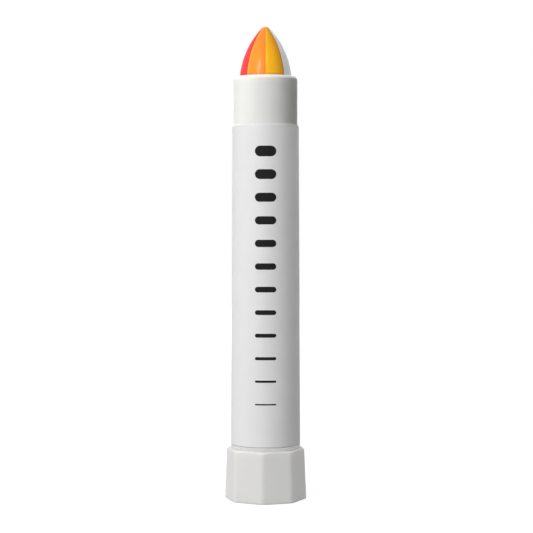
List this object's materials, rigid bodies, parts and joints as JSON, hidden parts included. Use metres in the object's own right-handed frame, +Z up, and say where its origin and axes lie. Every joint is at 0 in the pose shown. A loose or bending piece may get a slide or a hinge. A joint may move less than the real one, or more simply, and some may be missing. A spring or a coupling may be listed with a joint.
{
  "type": "solid paint marker",
  "caption": "Twist-up solid paint marker: an octagonal base knob turns a screw that pushes a multicolour stick of paint out of a white barrel with a plain grey label.",
  "frame": {"origin": "centre of the knob's base, where the marker stands", "axes": "+Z up the axis of the marker, from the knob to the tip; -Y is the side that the picture shows, with the joint between the front orange and the front yellow paint"},
  "size_m": [0.0204, 0.0204, 0.1169],
  "materials": {
    "white_plastic": "satin-gloss moulded plastic",
    "milky_plastic": "milky, slightly translucent moulded plastic",
    "label_film": "satin printed film, plain grey",
    "rubber": "matt",
    "crimson_paint": "solid paint, waxy gloss",
    "red_paint": "solid paint, waxy gloss",
    "orange_paint": "solid paint, waxy gloss",
    "yellow_paint": "solid paint, waxy gloss",
    "white_paint": "solid paint, waxy gloss"
  },
  "bodies": {
    "barrel": {"barrel": "white_plastic", "label": "label_film", "end_plug": "white_plastic", "seal_ring": "rubber"},
    "knob": {"knob": "milky_plastic", "spindle": "milky_plastic"},
    "stick": {"carrier": "white_plastic", "paint_crimson": "crimson_paint", "paint_orange_rear": "orange_paint", "paint_yellow_rear": "yellow_paint", "paint_white_rear": "white_paint", "paint_red": "red_paint", "paint_orange_front": "orange_paint", "paint_yellow_front": "yellow_paint", "paint_white_front": "white_paint"}
  },
  "joints": [
    {"name": "knob_turn", "type": "hinge", "parent": "barrel", "child": "knob", "pos_m": [0, 0, 0.01355], "axis": [0, 0, 1], "range_deg": [-1170, 4320]},
    {"name": "carrier_rise", "type": "slide", "parent": "barrel", "child": "stick", "axis": [0, 0, 1], "range_m": [-0.013, 0.048]}
  ],
  "couplings": [
    {"joint": "knob_turn", "follows": "carrier_rise", "rad_per_m": 1570.8}
  ]
}
